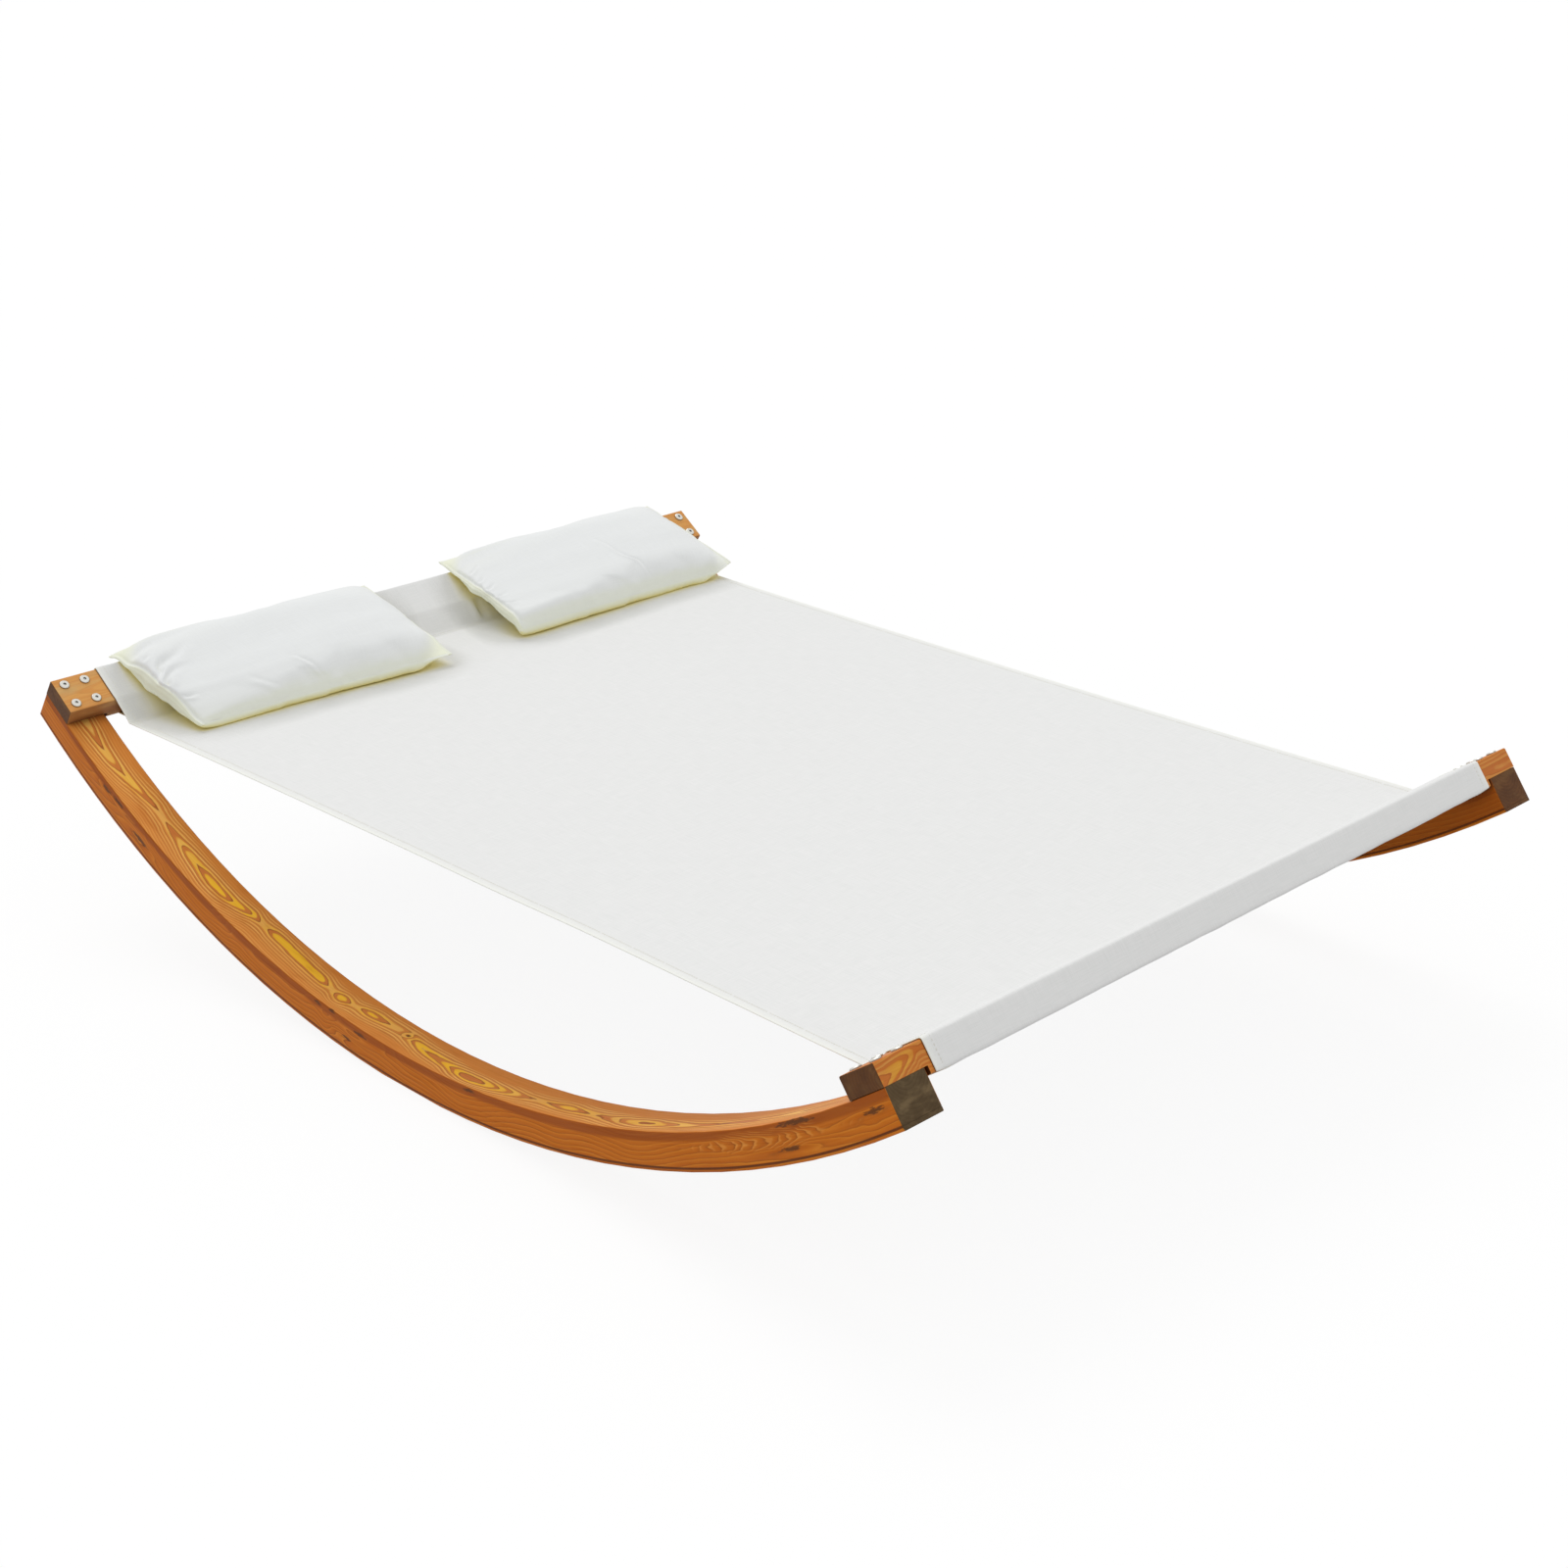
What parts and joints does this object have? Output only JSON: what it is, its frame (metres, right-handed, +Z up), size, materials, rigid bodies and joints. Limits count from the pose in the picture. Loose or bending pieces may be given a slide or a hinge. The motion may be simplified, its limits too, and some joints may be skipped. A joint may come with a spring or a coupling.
{
  "type": "rocking hammock bed with stand",
  "caption": "Low double lounger: a flat canvas sling with sleeved ends stretched between cross beams on bent timber rockers, with loose pillows at the head.",
  "frame": {"origin": "on the floor under the middle of the bed, halfway between the rockers", "axes": "+X towards the foot end, +Y towards the left side of a person lying on it, +Z up"},
  "size_m": [1.9678, 1.4, 0.4527],
  "materials": {
    "larch": "honey-stained, oiled softwood with darker latewood lines, eased edges and grey-brown end grain",
    "canvas": "matt off-white woven outdoor canvas",
    "pillow_cotton": "matt white closely woven cotton",
    "pillow_wadding": "soft white fibre",
    "zinc_plate": "bright zinc-plated steel",
    "brass_insert": "turned brass"
  },
  "bodies": {
    "stand": {"rocker_right": "larch", "rocker_left": "larch", "head_beam": "larch", "foot_beam": "larch", "rocker_sole_right": "larch", "rocker_sole_left": "larch", "sling": "canvas", "bolt_head_right_1": "zinc_plate", "bolt_head_right_2": "zinc_plate", "bolt_head_right_3": "zinc_plate", "bolt_head_right_4": "zinc_plate", "bolt_head_left_1": "zinc_plate", "bolt_head_left_2": "zinc_plate", "bolt_head_left_3": "zinc_plate", "bolt_head_left_4": "zinc_plate", "bolt_foot_right_1": "zinc_plate", "bolt_foot_right_2": "zinc_plate", "bolt_foot_right_3": "zinc_plate", "bolt_foot_right_4": "zinc_plate", "bolt_foot_left_1": "zinc_plate", "bolt_foot_left_2": "zinc_plate", "bolt_foot_left_3": "zinc_plate", "bolt_foot_left_4": "zinc_plate", "insert_head_right_1": "brass_insert", "insert_head_right_2": "brass_insert", "insert_head_right_3": "brass_insert", "insert_head_right_4": "brass_insert", "insert_head_left_1": "brass_insert", "insert_head_left_2": "brass_insert", "insert_head_left_3": "brass_insert", "insert_head_left_4": "brass_insert", "insert_foot_right_1": "brass_insert", "insert_foot_right_2": "brass_insert", "insert_foot_right_3": "brass_insert", "insert_foot_right_4": "brass_insert", "insert_foot_left_1": "brass_insert", "insert_foot_left_2": "brass_insert", "insert_foot_left_3": "brass_insert", "insert_foot_left_4": "brass_insert"},
    "pillow_right": {"pillow_cover_right": "pillow_cotton", "pillow_filling_right": "pillow_wadding"},
    "pillow_left": {"pillow_cover_left": "pillow_cotton", "pillow_filling_left": "pillow_wadding"}
  },
  "joints": [
    {"name": "pillow_right_lift", "type": "slide", "parent": "stand", "child": "pillow_right", "axis": [0, 0, 1], "range_m": [0, 0.3]},
    {"name": "pillow_left_lift", "type": "slide", "parent": "stand", "child": "pillow_left", "axis": [0, 0, 1], "range_m": [0, 0.3]}
  ]
}
